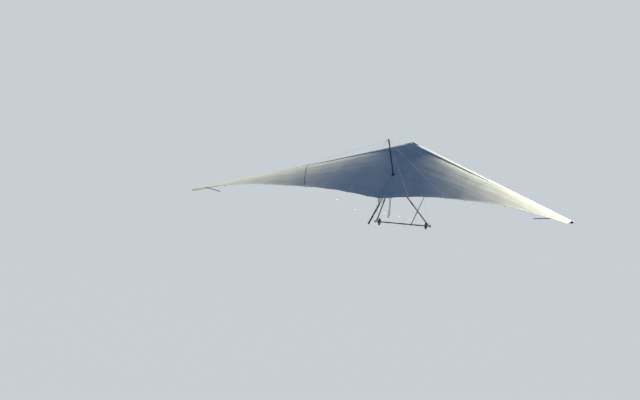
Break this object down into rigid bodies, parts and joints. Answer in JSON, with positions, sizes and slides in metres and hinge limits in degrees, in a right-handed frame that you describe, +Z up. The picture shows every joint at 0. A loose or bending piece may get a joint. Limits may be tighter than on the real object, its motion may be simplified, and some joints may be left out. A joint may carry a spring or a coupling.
{
  "type": "hang glider",
  "caption": "Single-surface hang glider: cloth sail on a tube airframe with kingpost, stays, a wheeled control frame, hang straps and a camera boom.",
  "frame": {"origin": "on the floor, below the middle of the glider's box as it stands parked on its two wheels and the keel's end", "axes": "+Z up, -Y towards the nose, +X to the pilot's left"},
  "size_m": [10.478, 4.1998, 2.3987],
  "materials": {
    "airframe_tube": "dark anodised, satin",
    "bright_fitting": "machined",
    "wire": "stranded cable",
    "sail_cloth": "woven polyester",
    "cover_cloth": "woven polyester",
    "pocket_cloth": "woven polyester",
    "rubber": "matte",
    "tyre": "matte",
    "plastic": "moulded",
    "webbing": "woven webbing"
  },
  "bodies": {
    "airframe": {"keel_tube": "airframe_tube", "keel_end_cap": "rubber", "keel_rear_fitting": "bright_fitting", "nose_plate_upper": "bright_fitting", "nose_plate_lower": "bright_fitting", "nose_cover": "cover_cloth", "leading_edge_left": "airframe_tube", "leading_edge_right": "airframe_tube", "leading_edge_cap_left": "plastic", "leading_edge_cap_right": "plastic", "crossbar_left": "airframe_tube", "crossbar_right": "airframe_tube", "crossbar_hinge": "bright_fitting", "junction_bracket_left": "bright_fitting", "junction_bracket_right": "bright_fitting", "kingpost": "airframe_tube", "kingpost_cap": "plastic", "kingpost_socket": "bright_fitting", "apex_bracket": "bright_fitting", "downtube_left": "airframe_tube", "downtube_right": "airframe_tube", "downtube_grip_left": "rubber", "downtube_grip_right": "rubber", "base_bar": "airframe_tube", "corner_bracket_left": "bright_fitting", "corner_bracket_right": "bright_fitting", "bar_end_knob_left": "plastic", "bar_end_knob_right": "plastic", "wheel_collar_left": "bright_fitting", "wheel_collar_right": "bright_fitting", "sail_left": "sail_cloth", "sail_right": "sail_cloth", "keel_pocket": "pocket_cloth", "washout_strut_left": "airframe_tube", "washout_strut_right": "airframe_tube", "upper_front_wire": "wire", "upper_rear_wire": "wire", "upper_side_wire_left": "wire", "upper_side_wire_right": "wire", "lower_side_wire_left": "wire", "lower_side_wire_right": "wire", "lower_front_wire_left": "wire", "lower_front_wire_right": "wire", "lower_rear_wire_left": "wire", "lower_rear_wire_right": "wire"},
    "left_wheel": {"wheel_left": "plastic", "tyre_left": "tyre"},
    "right_wheel": {"wheel_right": "plastic", "tyre_right": "tyre"},
    "front_strap": {"hang_strap_front": "webbing", "carabiner_front": "bright_fitting"},
    "rear_strap": {"hang_strap_rear": "webbing", "carabiner_rear": "bright_fitting"},
    "boom": {"boom_clamp": "plastic", "camera_boom": "plastic", "boom_camera": "plastic"}
  },
  "joints": [
    {"name": "wheel_left_spin", "type": "hinge", "parent": "airframe", "child": "left_wheel", "pos_m": [0.676, -1.01623, 0.095], "axis": [1, 0, 0], "continuous": true},
    {"name": "wheel_right_spin", "type": "hinge", "parent": "airframe", "child": "right_wheel", "pos_m": [-0.676, -1.01623, 0.095], "axis": [1, 0, 0], "continuous": true},
    {"name": "strap_front_swing", "type": "hinge", "parent": "airframe", "child": "front_strap", "pos_m": [0, 0.2239, 1.23005], "axis": [0, 0.8111, -0.5849], "range_deg": [-60, 60]},
    {"name": "strap_rear_swing", "type": "hinge", "parent": "airframe", "child": "rear_strap", "pos_m": [0, 0.31312, 1.16571], "axis": [0, 0.8111, -0.5849], "range_deg": [-60, 60]},
    {"name": "boom_tilt", "type": "hinge", "parent": "airframe", "child": "boom", "pos_m": [-0.25, -1.01623, 0.095], "axis": [1, 0, 0], "range_deg": [-60, 25]}
  ]
}
